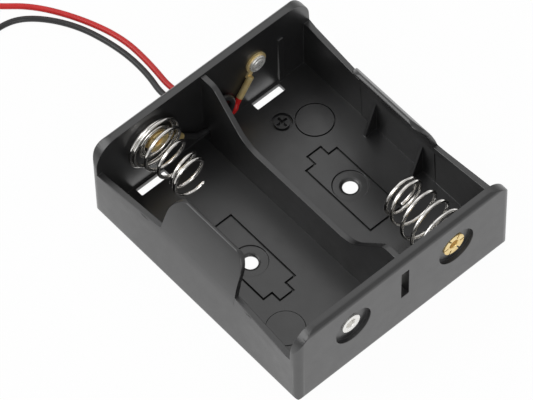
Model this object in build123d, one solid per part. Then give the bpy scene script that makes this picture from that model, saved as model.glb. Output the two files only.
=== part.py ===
from build123d import *
import math
import os

# Holder for two C-size cylindrical cells that lie side by side, head to tail, and are joined in
# series. Each cell snaps in under a curled tongue of its side wall, between a contact spring at
# one end and the head of a rivet at the other. Two soft leads leave through the far end wall.
#
# +X runs across the bays, +Y towards the end wall that the leads leave, and +Z is up. The origin
# is in the middle of the underside. Lengths are in millimetres and angles in degrees.

# The cells and the room that they need
CELL_DIAMETER = 26.2
CELL_LENGTH = 50.0
CELL_SIDE_CLEARANCE = 0.2
CONTACT_SPACE = 9.0

# The moulded tray
FLOOR_THICKNESS = 1.2
END_WALL_THICKNESS = 2.25
END_WALL_RISE = 8.9
SIDE_WALL_FOOT_THICKNESS = 1.75
SIDE_WALL_TOP_THICKNESS = 1.45
SIDE_WALL_RISE = 0.65
PLAN_CORNER_RADIUS = 2.0
BOTTOM_EDGE_RADIUS = 2.4
SHOULDER_RADIUS = 6.0
RIM_RADIUS = 1.2

# The retaining tongues: they lean in from the foot, then curl over the cell
TONGUE_FOOT_WIDTH = 22.6
TONGUE_TIP_WIDTH = 21.4
TONGUE_THICKNESS = 1.1
TONGUE_LEAN = 5.9
TONGUE_BEND_DROP = 1.9
TONGUE_BEND_RADIUS = 24.0
TONGUE_CURL = 30.7
TONGUE_CORNER_RADIUS = 4.7
TONGUE_TIP_ROUNDING = 0.4
GUSSET_SPACING = 14.2
GUSSET_THICKNESS = 0.85
GUSSET_REACH = 3.15
GUSSET_HEIGHT = 10.0

# The divider: high at both end walls, low in the middle so that a finger reaches a cell
DIVIDER_THICKNESS = 1.3
DIVIDER_TOP_DROP = 0.6
DIVIDER_LOW_DROP = 2.4
DIVIDER_LOW_LENGTH = 32.1
DIVIDER_SLOPE_RUN = 9.75
DIVIDER_FOOT_RADIUS = 8.0
DIVIDER_CREST_RADIUS = 3.6

# Where the strip and the black lead cross the divider: a slot through the near end wall, and a
# low notch in the divider at the far one
STRIP_SLOT_WIDTH = 2.0
STRIP_SLOT_HEIGHT = 8.55
STRIP_SLOT_RISE = 0.775
LEAD_NOTCH_HEIGHT = 2.8
LEAD_NOTCH_Z = 4.2
CROSSING_DEPTH = 2.2

# Holes and small forms of the floor and the end walls
MOUNTING_HOLE_SPACING = 27.5
MOUNTING_HOLE_RADIUS = 1.65
MOUNTING_SINK_RADIUS = 2.45
MOUNTING_SINK_DEPTH = 0.3
MOUNTING_RECESS_RADIUS = 3.8
MOUNTING_RECESS_DEPTH = 0.35
FLOOR_SLOT_LENGTH = 7.6
FLOOR_SLOT_WIDTH = 2.0
FLOOR_SLOT_X = 15.95
FLOOR_SLOT_WALL_GAP = 0.55
EJECTOR_RADIUS = 4.15
EJECTOR_HEIGHT = 0.15
EJECTOR_PLACE = (19.2, 17.0)
WALL_RIB_WIDTH = 1.4
WALL_RIB_PROUD = 0.35
WALL_RIB_X = 20.8
WALL_RIB_TOP = 16.0
RIVET_RECESS_RADIUS = 4.6
RIVET_RECESS_DEPTH = 1.0

# The rivets and eyelets that hold the contacts to the end walls
SHANK_RADIUS = 1.55
SHANK_CLEARANCE = 0.05
SHANK_BORE_RADIUS = 1.1
EYELET_FLANGE_RADIUS = 2.5
EYELET_PETAL_RADIUS = 2.7
EYELET_SHEET = 0.35
PETALS = 6
PETAL_GAP = 0.35
BUTTON_RADIUS = 2.9
BUTTON_HEIGHT = 0.9
SMALL_HEAD_RADIUS = 2.05
NIPPLE_RADIUS = 1.3
NIPPLE_HEIGHT = 0.45
FLARE_RADIUS = 2.3
SEAT_CLEARANCE = 0.1

# The contact springs
WIRE_DIAMETER = 0.8
SPRING_BASE_RADIUS = 6.2
SPRING_COIL_RADIUS = 4.45
SPRING_FREE_LENGTH = 13.8
SPRING_BASE_HALF_TURNS = 6
SPRING_CONE_HALF_TURNS = 6
SPRING_OPEN_HALF_TURNS = 6
SPRING_CLOSED_HALF_TURNS = 4
SPRING_CLOSED_PITCH = 1.5

# The ring lugs of the leads and the strip that joins the two cells
LUG_SHEET = 0.4
LUG_RING_RADIUS = 2.6
LUG_NECK_WIDTH = 1.3
LUG_LENGTH = 9.0
RED_BARREL_LENGTH = 5.6
BLACK_BARREL_LENGTH = 2.1
LUG_BARREL_DIAMETER = 1.45
LUG_TURN = {"red": 234.9, "black": 319.7}
STRIP_SHEET = 0.3
STRIP_HEIGHT = 6.4

# The leads, laid on the surface that the holder stands on
LEAD_DIAMETER = 1.35
LEAD_PITCH = 1.5
LEAD_EXIT_X = 4.65
LEAD_EXIT_Z = 3.3
EXIT_CLEARANCE = 0.7
LEAD_IN = 1.4
COIL_START_RADIUS = 8.2
COIL_TURN_GAP = 0.15
COIL_HALF_TURNS = 4
TAIL_RADIUS = 4.1
TAIL_SWEEP = 120.0
BARE_DIAMETER = 0.6
BARE_LENGTH = 5.0

# What follows from the sizes above
cell_radius = CELL_DIAMETER / 2
cell_x = DIVIDER_THICKNESS / 2 + CELL_SIDE_CLEARANCE + cell_radius
cell_z = FLOOR_THICKNESS + cell_radius
bay_end_y = (CELL_LENGTH + CONTACT_SPACE) / 2
bay_side_x = cell_x + cell_radius + CELL_SIDE_CLEARANCE
half_length = bay_end_y + END_WALL_THICKNESS
half_width = bay_side_x + SIDE_WALL_FOOT_THICKNESS
end_wall_top = cell_z + END_WALL_RISE
side_wall_top = cell_z + SIDE_WALL_RISE
strip_slot_z = cell_z + STRIP_SLOT_RISE
recess_floor_y = half_length - RIVET_RECESS_DEPTH
hole_radius = SHANK_RADIUS + SHANK_CLEARANCE
wire_radius = WIRE_DIAMETER / 2
lead_radius = LEAD_DIAMETER / 2
lug_axis_y = bay_end_y - LUG_BARREL_DIAMETER / 2
wire_stack = WIRE_DIAMETER + 2 * SEAT_CLEARANCE
barrel_length = {"red": RED_BARREL_LENGTH, "black": BLACK_BARREL_LENGTH}

tongue_lean = math.radians(TONGUE_LEAN)
tongue_bend_z = cell_z - TONGUE_BEND_DROP
tongue_bend_x = half_width - (tongue_bend_z - BOTTOM_EDGE_RADIUS) * math.tan(tongue_lean)
tongue_centre_x = tongue_bend_x - TONGUE_BEND_RADIUS * math.cos(tongue_lean)
tongue_centre_z = tongue_bend_z - TONGUE_BEND_RADIUS * math.sin(tongue_lean)
tongue_tip_angle = math.radians(TONGUE_LEAN + TONGUE_CURL)
tongue_tip_z = tongue_centre_z + TONGUE_BEND_RADIUS * math.sin(tongue_tip_angle)

# Where each lead runs: inside the bays from the end of its lug to the exit, then out to its coil
lead_exit = {
    "red": Vector(LEAD_EXIT_X + LEAD_PITCH / 2, half_length, LEAD_EXIT_Z),
    "black": Vector(LEAD_EXIT_X - LEAD_PITCH / 2, half_length, LEAD_EXIT_Z),
}
inside_route = {
    "red": [(6.8, 28.2, 4.5), (5.4, 29.6, 3.3)],
    "black": [
        (-3.0, 28.5, 4.6),
        (1.7, 28.4, LEAD_NOTCH_Z),
        (1.7, 28.4, 10.4),
        (3.6, 28.4, 12.1),
        (5.9, 28.4, 10.4),
        (6.7, 28.4, 7.8),
        (5.2, 28.3, 5.0),
        (3.9, 29.4, 3.3),
    ],
}
outside_route = {
    "red": [
        (5.4, 34.2, 3.3),
        (4.5, 38.0, 1.4),
        (2.2, 42.6, lead_radius),
        (3.3, 51.5, lead_radius),
        (3.2, 60.5, lead_radius),
        (-0.3, 70.5, lead_radius),
        (-5.5, 79.3, lead_radius),
        (-11.5, 84.5, lead_radius),
        (-17.0, 90.5, lead_radius),
        (-23.5, 95.0, lead_radius),
    ],
    "black": [
        (3.9, 34.2, 3.3),
        (2.6, 38.0, 1.4),
        (-0.3, 42.4, lead_radius),
        (1.35, 50.5, lead_radius),
        (0.9, 59.5, lead_radius),
        (-2.1, 70.0, lead_radius),
        (-8.6, 78.4, lead_radius),
        (-15.5, 80.2, lead_radius),
        (-23.5, 78.2, lead_radius),
        (-32.0, 75.8, lead_radius),
        (-40.5, 75.0, lead_radius),
    ],
}


# The tray


def outer_form():
    """The room that the moulding fills: rounded corners in plan and rounded bottom edges."""
    height = tongue_tip_z + RIM_RADIUS
    plan = extrude(RectangleRounded(2 * half_width, 2 * half_length, PLAN_CORNER_RADIUS), height)
    front = Rectangle(2 * half_width, height, align=(Align.CENTER, Align.MIN))
    front = fillet(front.vertices().group_by(Axis.Y)[0], BOTTOM_EDGE_RADIUS)
    side = Rectangle(2 * half_length, height, align=(Align.CENTER, Align.MIN))
    side = fillet(side.vertices().group_by(Axis.Y)[0], BOTTOM_EDGE_RADIUS)
    across = extrude(Plane.XZ * front, half_length, both=True)
    along = extrude(Plane.YZ * side, half_width, both=True)
    return plan & across & along


def end_walls():
    """Both end walls, with round shoulders and a rounded outer rim."""
    shoulders = Rectangle(2 * half_width, end_wall_top, align=(Align.CENTER, Align.MIN))
    shoulders = fillet(shoulders.vertices().group_by(Axis.Y)[-1], SHOULDER_RADIUS)
    rim = Rectangle(2 * half_length, end_wall_top, align=(Align.CENTER, Align.MIN))
    rim = fillet(rim.vertices().group_by(Axis.Y)[-1], RIM_RADIUS)
    walls = extrude(Plane.XZ * shoulders, half_length, both=True)
    walls &= extrude(Plane.YZ * rim, half_width, both=True)
    between = (Align.CENTER, Align.CENTER, Align.MIN)
    return walls - Box(2 * half_width, 2 * bay_end_y, end_wall_top, align=between)


def tongue_face_x(radius, z):
    """Distance from the middle plane to a tongue's face of that bend radius, at height z."""
    return tongue_centre_x + math.sqrt(radius**2 - (z - tongue_centre_z) ** 2)


def side_wall_section(y, outer_bend_x, outer_top_x, inner_top_x, inner_bend_x):
    """Cross-section of a low side wall at y, whose faces both bend at the tongues' bend."""
    outline = Polyline(
        (bay_side_x, 0),
        (half_width, 0),
        (half_width, BOTTOM_EDGE_RADIUS),
        (outer_bend_x, tongue_bend_z),
        (outer_top_x, side_wall_top),
        (inner_top_x, side_wall_top),
        (inner_bend_x, tongue_bend_z),
        (bay_side_x, FLOOR_THICKNESS),
        close=True,
    )
    return Plane(origin=(0, y, 0), x_dir=(1, 0, 0), z_dir=(0, -1, 0)) * make_face(outline)


def low_side_wall():
    """The stretch from an end wall, where it is upright, to a tongue, where it is flush with it."""
    upright = side_wall_section(
        bay_end_y, half_width, half_width, half_width - SIDE_WALL_TOP_THICKNESS, bay_side_x
    )
    leaning = side_wall_section(
        TONGUE_FOOT_WIDTH / 2,
        tongue_bend_x,
        tongue_face_x(TONGUE_BEND_RADIUS, side_wall_top),
        tongue_face_x(TONGUE_BEND_RADIUS - TONGUE_THICKNESS, side_wall_top),
        tongue_face_x(TONGUE_BEND_RADIUS - TONGUE_THICKNESS, tongue_bend_z),
    )
    return loft([upright, leaning], ruled=True)


def tongue():
    """One retaining tongue: a curved strip of wall, trimmed to its tapered, round-cornered front."""
    centre = (tongue_centre_x, tongue_centre_z)
    outer = CenterArc(centre, TONGUE_BEND_RADIUS, TONGUE_LEAN, TONGUE_CURL)
    inner = CenterArc(centre, TONGUE_BEND_RADIUS - TONGUE_THICKNESS, TONGUE_LEAN, TONGUE_CURL)
    foot = Polyline(
        inner @ 0,
        (bay_side_x, FLOOR_THICKNESS),
        (bay_side_x, 0),
        (half_width, 0),
        (half_width, BOTTOM_EDGE_RADIUS),
        outer @ 0,
    )
    profile = make_face([outer, Line(outer @ 1, inner @ 1), inner, foot])
    profile = fillet(profile.vertices().sort_by(Axis.Y)[-2:], TONGUE_TIP_ROUNDING)
    strip = extrude(Plane.XZ * profile, TONGUE_FOOT_WIDTH / 2, both=True)
    front = Polyline(
        (-TONGUE_FOOT_WIDTH / 2, 0),
        (TONGUE_FOOT_WIDTH / 2, 0),
        (TONGUE_FOOT_WIDTH / 2, side_wall_top),
        (TONGUE_TIP_WIDTH / 2, tongue_tip_z),
        (-TONGUE_TIP_WIDTH / 2, tongue_tip_z),
        (-TONGUE_FOOT_WIDTH / 2, side_wall_top),
        close=True,
    )
    front = make_face(front)
    front = fillet(front.vertices().group_by(Axis.Y)[-1], TONGUE_CORNER_RADIUS)
    return strip & extrude(Plane.YZ * front, half_width)


def gusset(y):
    """Triangular rib that stiffens the foot of a tongue."""
    top_z = FLOOR_THICKNESS + GUSSET_HEIGHT
    in_wall_x = bay_side_x + TONGUE_THICKNESS / 4
    outline = Polyline(
        (bay_side_x - GUSSET_REACH, FLOOR_THICKNESS / 2),
        (bay_side_x - GUSSET_REACH, FLOOR_THICKNESS),
        (bay_side_x - TONGUE_THICKNESS / 4, top_z),
        (in_wall_x, top_z),
        (in_wall_x, FLOOR_THICKNESS / 2),
        close=True,
    )
    rib = extrude(Plane.XZ * make_face(outline), GUSSET_THICKNESS / 2, both=True)
    return Pos(0, y, 0) * rib


def side_wall():
    """Everything that stands along the +X edge."""
    quarter = low_side_wall()
    wall = tongue() + quarter + mirror(quarter, Plane.XZ)
    for y in (-GUSSET_SPACING / 2, GUSSET_SPACING / 2):
        wall += gusset(y)
    return wall


def divider():
    """The wall between the bays, with its S-shaped steps down to the low middle."""
    top_z = end_wall_top - DIVIDER_TOP_DROP
    low_z = cell_z - DIVIDER_LOW_DROP
    foot_y = DIVIDER_LOW_LENGTH / 2
    crest_y = foot_y + DIVIDER_SLOPE_RUN
    end_y = bay_end_y + END_WALL_THICKNESS / 2
    crest = [DIVIDER_CREST_RADIUS, DIVIDER_FOOT_RADIUS, DIVIDER_FOOT_RADIUS, DIVIDER_CREST_RADIUS]
    top = FilletPolyline(
        (-end_y, top_z),
        (-crest_y, top_z),
        (-foot_y, low_z),
        (foot_y, low_z),
        (crest_y, top_z),
        (end_y, top_z),
        radius=crest,
    )
    rest = Polyline(top @ 1, (end_y, 0), (-end_y, 0), top @ 0)
    face = make_face([top, rest])
    return extrude(Plane.YZ * face, DIVIDER_THICKNESS / 2, both=True)


def mounting_hole():
    """Screw hole with its shallow round recess and sink, as one tool that cuts the floor."""
    recess_z = FLOOR_THICKNESS - MOUNTING_RECESS_DEPTH
    sink_z = recess_z - MOUNTING_SINK_DEPTH
    half_section = Polyline(
        (0, -FLOOR_THICKNESS),
        (MOUNTING_HOLE_RADIUS, -FLOOR_THICKNESS),
        (MOUNTING_HOLE_RADIUS, sink_z),
        (MOUNTING_SINK_RADIUS, recess_z),
        (MOUNTING_RECESS_RADIUS, recess_z),
        (MOUNTING_RECESS_RADIUS, 2 * FLOOR_THICKNESS),
        (0, 2 * FLOOR_THICKNESS),
        close=True,
    )
    return revolve(Plane.XZ * make_face(half_section), Axis.Z)


def rivet_seat():
    """Round recess in an end wall's outer face with the rivet's hole through the web behind it."""
    along_y = Rotation(-90, 0, 0)
    seat_low = (Align.CENTER, Align.CENTER, Align.MIN)
    recess = Cylinder(RIVET_RECESS_RADIUS, END_WALL_THICKNESS, align=seat_low)
    hole = Cylinder(hole_radius, 2 * END_WALL_THICKNESS)
    return Pos(cell_x, recess_floor_y, cell_z) * along_y * (recess + hole)


def half_turn(shape):
    """The same shape on the other side of the holder, turned half way round the Z axis."""
    return Rotation(0, 0, 180) * shape


def end_features_cut():
    """What is cut at the +Y end and, half a turn away, at the other end too."""
    slot_y = bay_end_y - FLOOR_SLOT_WALL_GAP - FLOOR_SLOT_WIDTH / 2
    slot = Box(FLOOR_SLOT_LENGTH, FLOOR_SLOT_WIDTH, 4 * FLOOR_THICKNESS)
    seat = rivet_seat()
    cut = seat + mirror(seat, Plane.YZ)
    for side in (-1, 1):
        cut += Pos(side * FLOOR_SLOT_X, slot_y, 0) * slot
    return cut


def strip_slot():
    """Slot through the near end wall into the divider, where the strip crosses to the other bay."""
    depth = half_length - bay_end_y + CROSSING_DEPTH
    from_outside = (Align.CENTER, Align.MIN, Align.CENTER)
    slot = Box(STRIP_SLOT_WIDTH, depth, STRIP_SLOT_HEIGHT, align=from_outside)
    return Pos(0, -half_length, strip_slot_z) * slot


def lead_notch():
    """Notch low in the divider, against the far end wall, where the black lead crosses."""
    against_wall = (Align.CENTER, Align.MAX, Align.CENTER)
    notch = Box(2 * DIVIDER_THICKNESS, CROSSING_DEPTH, LEAD_NOTCH_HEIGHT, align=against_wall)
    return Pos(0, bay_end_y, LEAD_NOTCH_Z) * notch


def bay_relief():
    """Forms that stand a little proud in the right bay: an ejector disc and the far wall's rib."""
    lifted = FLOOR_THICKNESS + EJECTOR_HEIGHT
    disc = Cylinder(EJECTOR_RADIUS, lifted, align=(Align.CENTER, Align.CENTER, Align.MIN))
    rib_y = bay_end_y - WALL_RIB_PROUD
    rib_depth = WALL_RIB_PROUD + END_WALL_THICKNESS / 2
    rib = Box(WALL_RIB_WIDTH, rib_depth, WALL_RIB_TOP, align=(Align.CENTER, Align.MIN, Align.MIN))
    return Pos(*EJECTOR_PLACE, 0) * disc + Pos(WALL_RIB_X, rib_y, 0) * rib


def exit_hole():
    """Obround hole at the foot of the far end wall, with room for the two leads side by side."""
    height = LEAD_DIAMETER + 2 * EXIT_CLEARANCE
    outline = SlotOverall(LEAD_PITCH + height, height)
    hole = extrude(Plane.XZ * outline, END_WALL_THICKNESS, both=True)
    return Pos(LEAD_EXIT_X, half_length, LEAD_EXIT_Z) * hole


def holder_body():
    """The whole tray, which is one moulding."""
    floor = Box(
        2 * half_width,
        2 * half_length,
        FLOOR_THICKNESS,
        align=(Align.CENTER, Align.CENTER, Align.MIN),
    )
    right = side_wall()
    body = floor + end_walls() + right + mirror(right, Plane.YZ) + divider()
    body += bay_relief() + half_turn(bay_relief())
    body &= outer_form()
    body -= end_features_cut() + half_turn(end_features_cut())
    body -= strip_slot() + lead_notch()
    for side in (-1, 1):
        body -= Pos(side * MOUNTING_HOLE_SPACING / 2, 0, 0) * mounting_hole()
    return body - exit_hole()


# The contacts


def at_far_wall(x, y):
    """Plane across a cell's axis at the far wall, y from the middle, with local Z outwards."""
    return Plane(origin=(x, y, cell_z), x_dir=(1, 0, 0), z_dir=(0, 1, 0))


def at_near_wall(x, y):
    """The same at the near wall, y from the middle, with local Z out through that wall."""
    return Plane(origin=(x, -y, cell_z), x_dir=(-1, 0, 0), z_dir=(0, -1, 0))


def spring_stations():
    """Radius and height of the wire's centre at every half turn, from the eyelet to the cell."""
    first = SHANK_RADIUS + SEAT_CLEARANCE + wire_radius
    grow = (SPRING_BASE_RADIUS - first) / SPRING_BASE_HALF_TURNS
    stations = [(first + grow * i, 0.0) for i in range(SPRING_BASE_HALF_TURNS + 1)]
    closed_rise = SPRING_CLOSED_PITCH / 2
    open_height = SPRING_FREE_LENGTH - WIRE_DIAMETER - closed_rise * SPRING_CLOSED_HALF_TURNS
    for i in range(1, SPRING_OPEN_HALF_TURNS + 1):
        cone = max(0.0, 1 - i / SPRING_CONE_HALF_TURNS)
        radius = SPRING_COIL_RADIUS + (SPRING_BASE_RADIUS - SPRING_COIL_RADIUS) * cone
        stations.append((radius, open_height * i / SPRING_OPEN_HALF_TURNS))
    for i in range(1, SPRING_CLOSED_HALF_TURNS + 1):
        stations.append((SPRING_COIL_RADIUS, open_height + closed_rise * i))
    return stations


def contact_spring():
    """One spring, standing on local z = 0 with its coils rising towards -Z, out of the wall.

    Neighbouring stations lie on opposite sides of the axis, and the half circle between two of
    them leaves and arrives at right angles to the line that joins them, so the wire is smooth.
    """
    points = []
    for i, (radius, height) in enumerate(spring_stations()):
        side = 1 if i % 2 == 0 else -1
        points.append(Vector(side * radius, 0, -wire_radius - height))
    arcs = []
    for i, (start, end) in enumerate(zip(points, points[1:])):
        over = -1 if i % 2 == 0 else 1
        bulge = Vector(0, over * (end - start).length / 2, 0)
        arcs.append(ThreePointArc(start, (start + end) / 2 + bulge, end))
    path = Wire(arcs)
    section = Plane(origin=path @ 0, z_dir=path % 0) * Circle(wire_radius)
    return sweep(section, path=path)


def turned(outline):
    """Solid of revolution about the local Z axis from a half section of (radius, height)."""
    return revolve(Plane.XZ * outline, Axis.Z)


def eyelet(grip, petals_outside):
    """Brass eyelet round a stack of that grip, which starts at z = 0 and ends at the recess.

    One end is a plain flange. The other is split into petals that are folded over.
    """
    ends = (EYELET_FLANGE_RADIUS, EYELET_PETAL_RADIUS)
    inner_radius, outer_radius = ends if petals_outside else ends[::-1]
    half_section = Polyline(
        (SHANK_BORE_RADIUS, -EYELET_SHEET),
        (inner_radius, -EYELET_SHEET),
        (inner_radius, 0),
        (SHANK_RADIUS, 0),
        (SHANK_RADIUS, grip),
        (outer_radius, grip),
        (outer_radius, grip + EYELET_SHEET),
        (SHANK_BORE_RADIUS, grip + EYELET_SHEET),
        close=True,
    )
    half_section = make_face(half_section)
    mouths = half_section.vertices().group_by(Axis.X)[0]
    body = turned(fillet(mouths, EYELET_SHEET))
    split_z = grip + EYELET_SHEET / 2 if petals_outside else -EYELET_SHEET / 2
    cut_length = EYELET_PETAL_RADIUS - SHANK_RADIUS
    notch = Box(cut_length, PETAL_GAP, EYELET_SHEET, align=(Align.MIN, Align.CENTER, Align.CENTER))
    for place in PolarLocations(SHANK_RADIUS, PETALS):
        body -= Pos(0, 0, split_z) * place * notch
    return body


def rivet(grip, head_radius, head_height):
    """Nickel-plated rivet. Its head touches the cell, and its drilled end is flared outside."""
    flare_z = grip + EYELET_SHEET
    half_section = Polyline(
        (0, -head_height),
        (head_radius, -head_height),
        (head_radius, 0),
        (SHANK_RADIUS, 0),
        (SHANK_RADIUS, grip),
        (FLARE_RADIUS, grip),
        (FLARE_RADIUS, flare_z),
        (SHANK_BORE_RADIUS, flare_z),
        (SHANK_BORE_RADIUS, grip / 2),
        (0, grip / 2),
        close=True,
    )
    half_section = make_face(half_section)
    rims = half_section.vertices().filter_by(lambda v: head_radius - v.X < 1e-6 and v.Y < -1e-6)
    half_section = fillet(rims, head_height / 2)
    mouth = half_section.vertices().filter_by(
        lambda v: abs(v.X - SHANK_BORE_RADIUS) < 1e-6 and v.Y > grip
    )
    return turned(fillet(mouth, EYELET_SHEET))


def nipple_rivet(grip):
    """The small-headed rivet, with a nipple on its head that reaches for the cell."""
    nipple = Cylinder(
        NIPPLE_RADIUS, NIPPLE_HEIGHT, align=(Align.CENTER, Align.CENTER, Align.MAX)
    )
    nipple = fillet(nipple.edges().group_by(Axis.Z)[0], NIPPLE_HEIGHT / 2)
    return rivet(grip, SMALL_HEAD_RADIUS, EYELET_SHEET) + Pos(0, 0, -EYELET_SHEET) * nipple


def ring_lug(colour):
    """Ring lug: flat ring, narrow neck and crimped barrel, turned as seen from the bay.

    Its back lies on local z = 0 and its sheet rises towards -Z, into the bay.
    """
    neck_end = LUG_LENGTH - barrel_length[colour] + LUG_NECK_WIDTH / 2
    neck = Pos(neck_end / 2, 0) * Rectangle(neck_end, LUG_NECK_WIDTH)
    plate = extrude(Circle(LUG_RING_RADIUS) + neck - Circle(hole_radius), -LUG_SHEET)
    barrel = Cylinder(
        LUG_BARREL_DIAMETER / 2,
        barrel_length[colour],
        rotation=(0, 90, 0),
        align=(Align.CENTER, Align.CENTER, Align.MAX),
    )
    barrel = Pos(LUG_LENGTH, 0, -LUG_BARREL_DIAMETER / 2) * barrel
    return Rotation(0, 0, -LUG_TURN[colour]) * (plate + barrel)


def link_strip():
    """Flat strip on the near wall. It joins one cell's spring to the other cell's rivet."""
    outline = SlotCenterToCenter(2 * cell_x, STRIP_HEIGHT)
    for side in (-1, 1):
        outline -= Pos(side * cell_x, 0) * Circle(hole_radius)
    strip = extrude(Plane.XZ * outline, STRIP_SHEET)
    return Pos(0, -bay_end_y + STRIP_SHEET, cell_z) * strip


# The leads


def inside_points(colour):
    """Points of a lead in the bays: straight out of its lug's barrel, then along its route."""
    side = 1 if colour == "red" else -1
    angle = math.radians(LUG_TURN[colour])
    heading = Vector(math.cos(angle), 0, math.sin(angle))
    start = Vector(side * cell_x, lug_axis_y, cell_z) + heading * LUG_LENGTH
    route = [Vector(p) for p in inside_route[colour]]
    return [start, start + heading * LEAD_IN, *route, lead_exit[colour]]


def outside_points(colour):
    """Points of a lead on the ground, from the exit to the start of its coil."""
    return [lead_exit[colour]] + [Vector(p) for p in outside_route[colour]]


def lead_tube(name, points):
    """Insulated lead along straight runs joined by the largest arcs that the runs have room for."""
    radii = []
    for before, here, after in zip(points, points[1:], points[2:]):
        half_of_turn = math.radians((here - before).get_angle(after - here)) / 2
        shorter_run = min((here - before).length, (after - here).length)
        radii.append(0.45 * shorter_run / math.tan(half_of_turn))
    path = FilletPolyline(*points, radius=radii)
    tube = sweep(Plane(origin=path @ 0, z_dir=path % 0) * Circle(lead_radius), path=path)
    plain_volume = math.pi * lead_radius**2 * path.length
    print(f"{name}: length {path.length:.1f}, share of volume {tube.volume / plain_volume:.4f}")
    print(f"{name}: radii", ", ".join(f"{radius:.1f}" for radius in radii))
    return tube


def coil_frame(colour):
    """Plane on the ground at the coil's first centre. Its X axis goes to where the lead arrives."""
    before, arrival = outside_points(colour)[-2:]
    heading = (arrival - before).normalized()
    to_centre = Vector(-heading.Y, heading.X, 0)
    centre = arrival + to_centre * COIL_START_RADIUS
    return Plane(origin=(centre.X, centre.Y, 0), x_dir=-to_centre, z_dir=(0, 0, 1))


def coil_half_circles(offset):
    """Half circles of the flat coil's wire line, each smaller than the last, moved out by offset."""
    step = (LEAD_DIAMETER + COIL_TURN_GAP) / 2
    arcs = []
    for i in range(COIL_HALF_TURNS):
        on_return = i % 2
        radius = COIL_START_RADIUS - step * i + offset
        arcs.append(CenterArc((-step * on_return, 0), radius, 180 * on_return, 180))
    return arcs


def lead_coil(colour):
    """Outer shape of a flat coil. It steps at the faces where the lead comes in and leaves."""
    outer = coil_half_circles(lead_radius)[:2]
    inner = coil_half_circles(-lead_radius)[-2:]
    outline = make_face([*outer, Line(outer[1] @ 1, outer[0] @ 0)])
    opening = make_face([*inner, Line(inner[1] @ 1, inner[0] @ 0)])
    return coil_frame(colour) * extrude(outline - opening, LEAD_DIAMETER)


def tail_line():
    """Middle line of a lead's last bend, inside its coil, in the coil's own frame."""
    end = coil_half_circles(0)[-1] @ 1
    return Pos(end.X - TAIL_RADIUS, 0, lead_radius) * CenterArc((0, 0), TAIL_RADIUS, 0, TAIL_SWEEP)


def lead_tail(colour):
    """The last bend of a lead's insulation."""
    line = tail_line()
    section = Plane(origin=line @ 0, z_dir=line % 0) * Circle(lead_radius)
    return coil_frame(colour) * sweep(section, path=line)


def bare_tip(colour):
    """The stripped and tinned end of a lead."""
    line = tail_line()
    standing = (Align.CENTER, Align.CENTER, Align.MIN)
    tip = Cylinder(BARE_DIAMETER / 2, BARE_LENGTH, align=standing)
    return coil_frame(colour) * (Plane(origin=line @ 1, z_dir=line % 1) * tip)


# The whole part


def contacts():
    """Every piece of metal in the bays, by node name."""
    lug_front = bay_end_y - LUG_SHEET
    strip_front = bay_end_y - STRIP_SHEET
    eyelet_far = lug_front - wire_stack
    eyelet_near = strip_front - wire_stack
    button = rivet(recess_floor_y - strip_front, BUTTON_RADIUS, BUTTON_HEIGHT)
    small_rivet = nipple_rivet(recess_floor_y - lug_front)
    petals_in = eyelet(recess_floor_y - eyelet_far, petals_outside=False)
    petals_out = eyelet(recess_floor_y - eyelet_near, petals_outside=True)
    spring = contact_spring()
    return {
        "contact_spring_left": at_far_wall(-cell_x, lug_front - SEAT_CLEARANCE) * spring,
        "contact_spring_right": at_near_wall(cell_x, strip_front - SEAT_CLEARANCE) * spring,
        "spring_eyelet_left": at_far_wall(-cell_x, eyelet_far) * petals_in,
        "spring_eyelet_right": at_near_wall(cell_x, eyelet_near) * petals_out,
        "positive_rivet_left": at_near_wall(-cell_x, strip_front) * button,
        "positive_rivet_right": at_far_wall(cell_x, lug_front) * small_rivet,
        "ring_lug_red": at_far_wall(cell_x, bay_end_y) * ring_lug("red"),
        "ring_lug_black": at_far_wall(-cell_x, bay_end_y) * ring_lug("black"),
        "link_strip": link_strip(),
    }


def leads():
    """Every piece of the two leads, by node name."""
    nodes = {}
    for colour in ("red", "black"):
        inside = f"lead_{colour}_inside"
        nodes[inside] = lead_tube(inside, inside_points(colour))
        nodes[f"lead_{colour}"] = lead_tube(f"lead_{colour}", outside_points(colour))
        nodes[f"lead_{colour}_coil"] = lead_coil(colour)
        nodes[f"lead_{colour}_tail"] = lead_tail(colour)
        nodes[f"lead_{colour}_tip"] = bare_tip(colour)
    return nodes


def main():
    """Write one STEP file for each piece."""
    os.makedirs("parts", exist_ok=True)
    pieces = {"holder_body": holder_body(), **contacts(), **leads()}
    for name, shape in pieces.items():
        export_step(shape, f"parts/{name}.step")


if __name__ == "__main__":
    main()
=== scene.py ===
"""Looks of a two-bay holder for cylindrical cells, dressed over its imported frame.

Lengths are in metres, +X runs across the bays, +Y towards the leads' end and +Z up.
"""

import logging
import math
from collections.abc import Callable, Iterator
from contextlib import contextmanager
from dataclasses import dataclass
from enum import Enum
from typing import ClassVar

import bmesh
import bpy
import numpy as np
from mathutils import Matrix, Vector


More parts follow.
